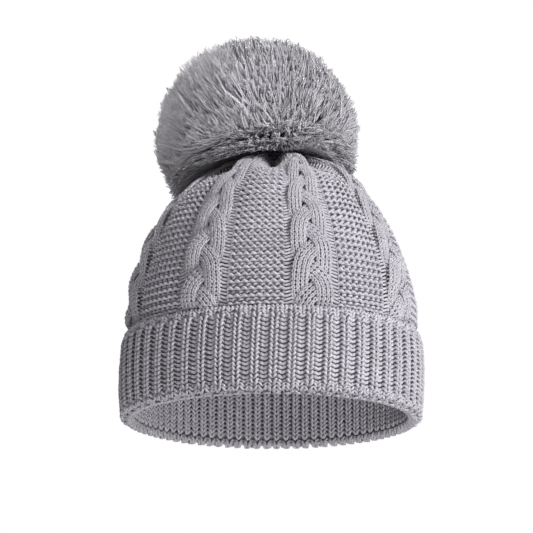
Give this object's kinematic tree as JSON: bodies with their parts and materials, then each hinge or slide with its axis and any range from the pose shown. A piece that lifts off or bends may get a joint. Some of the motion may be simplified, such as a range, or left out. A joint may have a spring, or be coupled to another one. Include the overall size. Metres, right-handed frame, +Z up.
{
  "type": "pom pom beanie",
  "caption": "Baby's knitted bobble hat with a cabled crown, a turned-up rib cuff and a yarn pom pom tied to the top.",
  "frame": {"origin": "centre of the head opening, on the level of the bottom fold that the hat stands on", "axes": "+Z up through the crown to the pom pom; -Y is the hat's front; +X is to the right as one looks at the front"},
  "size_m": [0.14, 0.14, 0.187],
  "materials": {
    "moss_knit": "heather-grey acrylic yarn in moss stitch",
    "cable_knit": "heather-grey acrylic yarn in three-strand plaited cables with purl gutters",
    "rib_knit": "heather-grey acrylic yarn in 2x2 rib",
    "seam_yarn": "heather-grey acrylic yarn, drawn tight",
    "tie_yarn": "heather-grey acrylic yarn, wound and knotted",
    "pompom_yarn": "cut heather-grey acrylic yarn with split ends",
    "label_cloth": "smooth woven satin tape, blank",
    "label_thread": "polyester sewing thread"
  },
  "bodies": {
    "hat": {"crown_panel_1": "moss_knit", "crown_panel_2": "moss_knit", "crown_panel_3": "moss_knit", "crown_panel_4": "moss_knit", "crown_panel_5": "moss_knit", "crown_panel_6": "moss_knit", "crown_panel_7": "moss_knit", "crown_panel_8": "moss_knit", "crown_cable_1": "cable_knit", "crown_cable_2": "cable_knit", "crown_cable_3": "cable_knit", "crown_cable_4": "cable_knit", "crown_cable_5": "cable_knit", "crown_cable_6": "cable_knit", "crown_cable_7": "cable_knit", "crown_cable_8": "cable_knit", "crown_gather": "cable_knit", "inner_band": "rib_knit", "brim_fold": "rib_knit", "cuff": "rib_knit", "back_seam": "seam_yarn", "gathering_yarn": "seam_yarn", "anchor_knot": "tie_yarn", "care_label": "label_cloth", "label_stitches": "label_thread"},
    "tie": {"tie_tails": "tie_yarn"},
    "loop": {"tie_loop": "tie_yarn"},
    "pompom": {"pompom_binding": "tie_yarn", "pompom_strands": "pompom_yarn"}
  },
  "joints": [
    {"name": "pompom_twist", "type": "hinge", "parent": "hat", "child": "tie", "pos_m": [0, 0, 0.1223], "axis": [0, 0, 1], "range_deg": [-20, 20]},
    {"name": "pompom_nod", "type": "hinge", "parent": "tie", "child": "loop", "pos_m": [0, 0, 0.1223], "axis": [1, 0, 0], "range_deg": [0, 16]},
    {"name": "pompom_sway", "type": "hinge", "parent": "loop", "child": "pompom", "pos_m": [0, 0, 0.1223], "axis": [0, 1, 0], "range_deg": [0, 10]}
  ]
}
